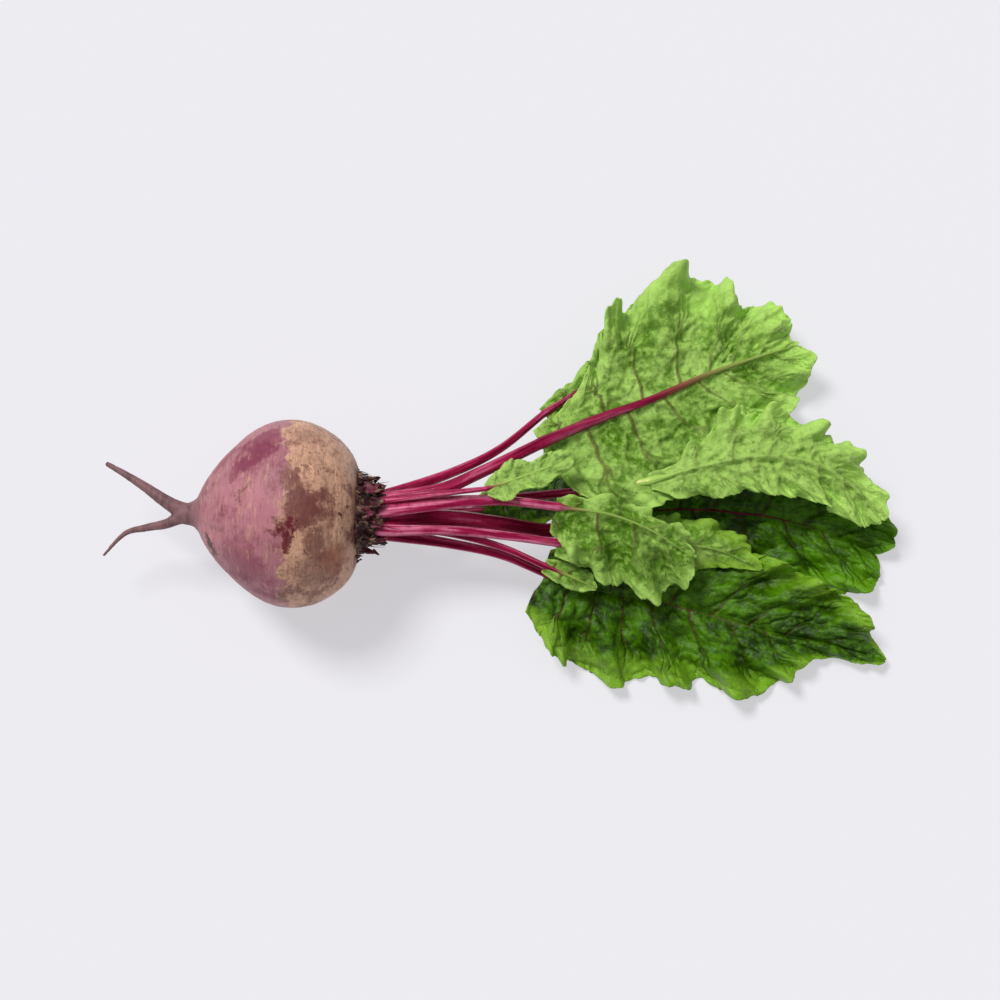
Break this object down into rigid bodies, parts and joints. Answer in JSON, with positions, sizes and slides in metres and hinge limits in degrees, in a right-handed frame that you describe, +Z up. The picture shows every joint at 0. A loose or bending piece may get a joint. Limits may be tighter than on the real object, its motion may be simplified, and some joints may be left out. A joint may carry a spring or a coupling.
{
  "type": "beetroot with leaves",
  "caption": "Round root vegetable lying on its side, with a forked tap root at one end and long stalks carrying ruffled leaf blades at the other.",
  "frame": {"origin": "on the surface the object rests on, under the widest ring of the root, at the middle of the small flat there", "axes": "+Z up from the surface; the root's axis lies along X, with the leaves towards +X and the tap root towards -X; +Y across"},
  "size_m": [0.3477, 0.1829, 0.0803],
  "materials": {
    "beet_skin": "matt corky skin, magenta to tan",
    "crown_skin": "dark rough scaly skin",
    "old_leaf_base": "dark dried leaf base",
    "leaf_stalk": "smooth ribbed magenta stalk",
    "leaf_blade_upper": "glossy dark green with red veins",
    "leaf_blade_under": "matt light green with raised veins"
  },
  "bodies": {
    "root": {"beet_root": "beet_skin", "crown": "crown_skin", "old_leaf_base_01": "old_leaf_base", "old_leaf_base_02": "old_leaf_base", "old_leaf_base_03": "old_leaf_base", "old_leaf_base_04": "old_leaf_base", "old_leaf_base_05": "old_leaf_base", "old_leaf_base_06": "old_leaf_base", "old_leaf_base_07": "old_leaf_base", "old_leaf_base_08": "old_leaf_base", "old_leaf_base_09": "old_leaf_base", "old_leaf_base_10": "old_leaf_base", "old_leaf_base_11": "old_leaf_base", "old_leaf_base_12": "old_leaf_base", "old_leaf_base_13": "old_leaf_base", "old_leaf_base_14": "old_leaf_base", "old_leaf_base_15": "old_leaf_base", "old_leaf_base_16": "old_leaf_base", "leaf_stalk_01": "leaf_stalk", "leaf_stalk_02": "leaf_stalk", "leaf_stalk_03": "leaf_stalk", "leaf_stalk_04": "leaf_stalk", "leaf_stalk_05": "leaf_stalk", "leaf_stalk_06": "leaf_stalk", "leaf_stalk_07": "leaf_stalk", "leaf_stalk_08": "leaf_stalk", "leaf_stalk_09": "leaf_stalk", "leaf_stalk_10": "leaf_stalk", "leaf_blade_01": "leaf_blade_under", "leaf_blade_02": "leaf_blade_under", "leaf_blade_03": "leaf_blade_under", "leaf_blade_04": "leaf_blade_under", "leaf_blade_05": "leaf_blade_under", "leaf_blade_06": "leaf_blade_upper", "leaf_blade_07": "leaf_blade_upper", "leaf_blade_08": "leaf_blade_under", "leaf_blade_09": "leaf_blade_under", "leaf_blade_10": "leaf_blade_upper"}
  },
  "joints": []
}
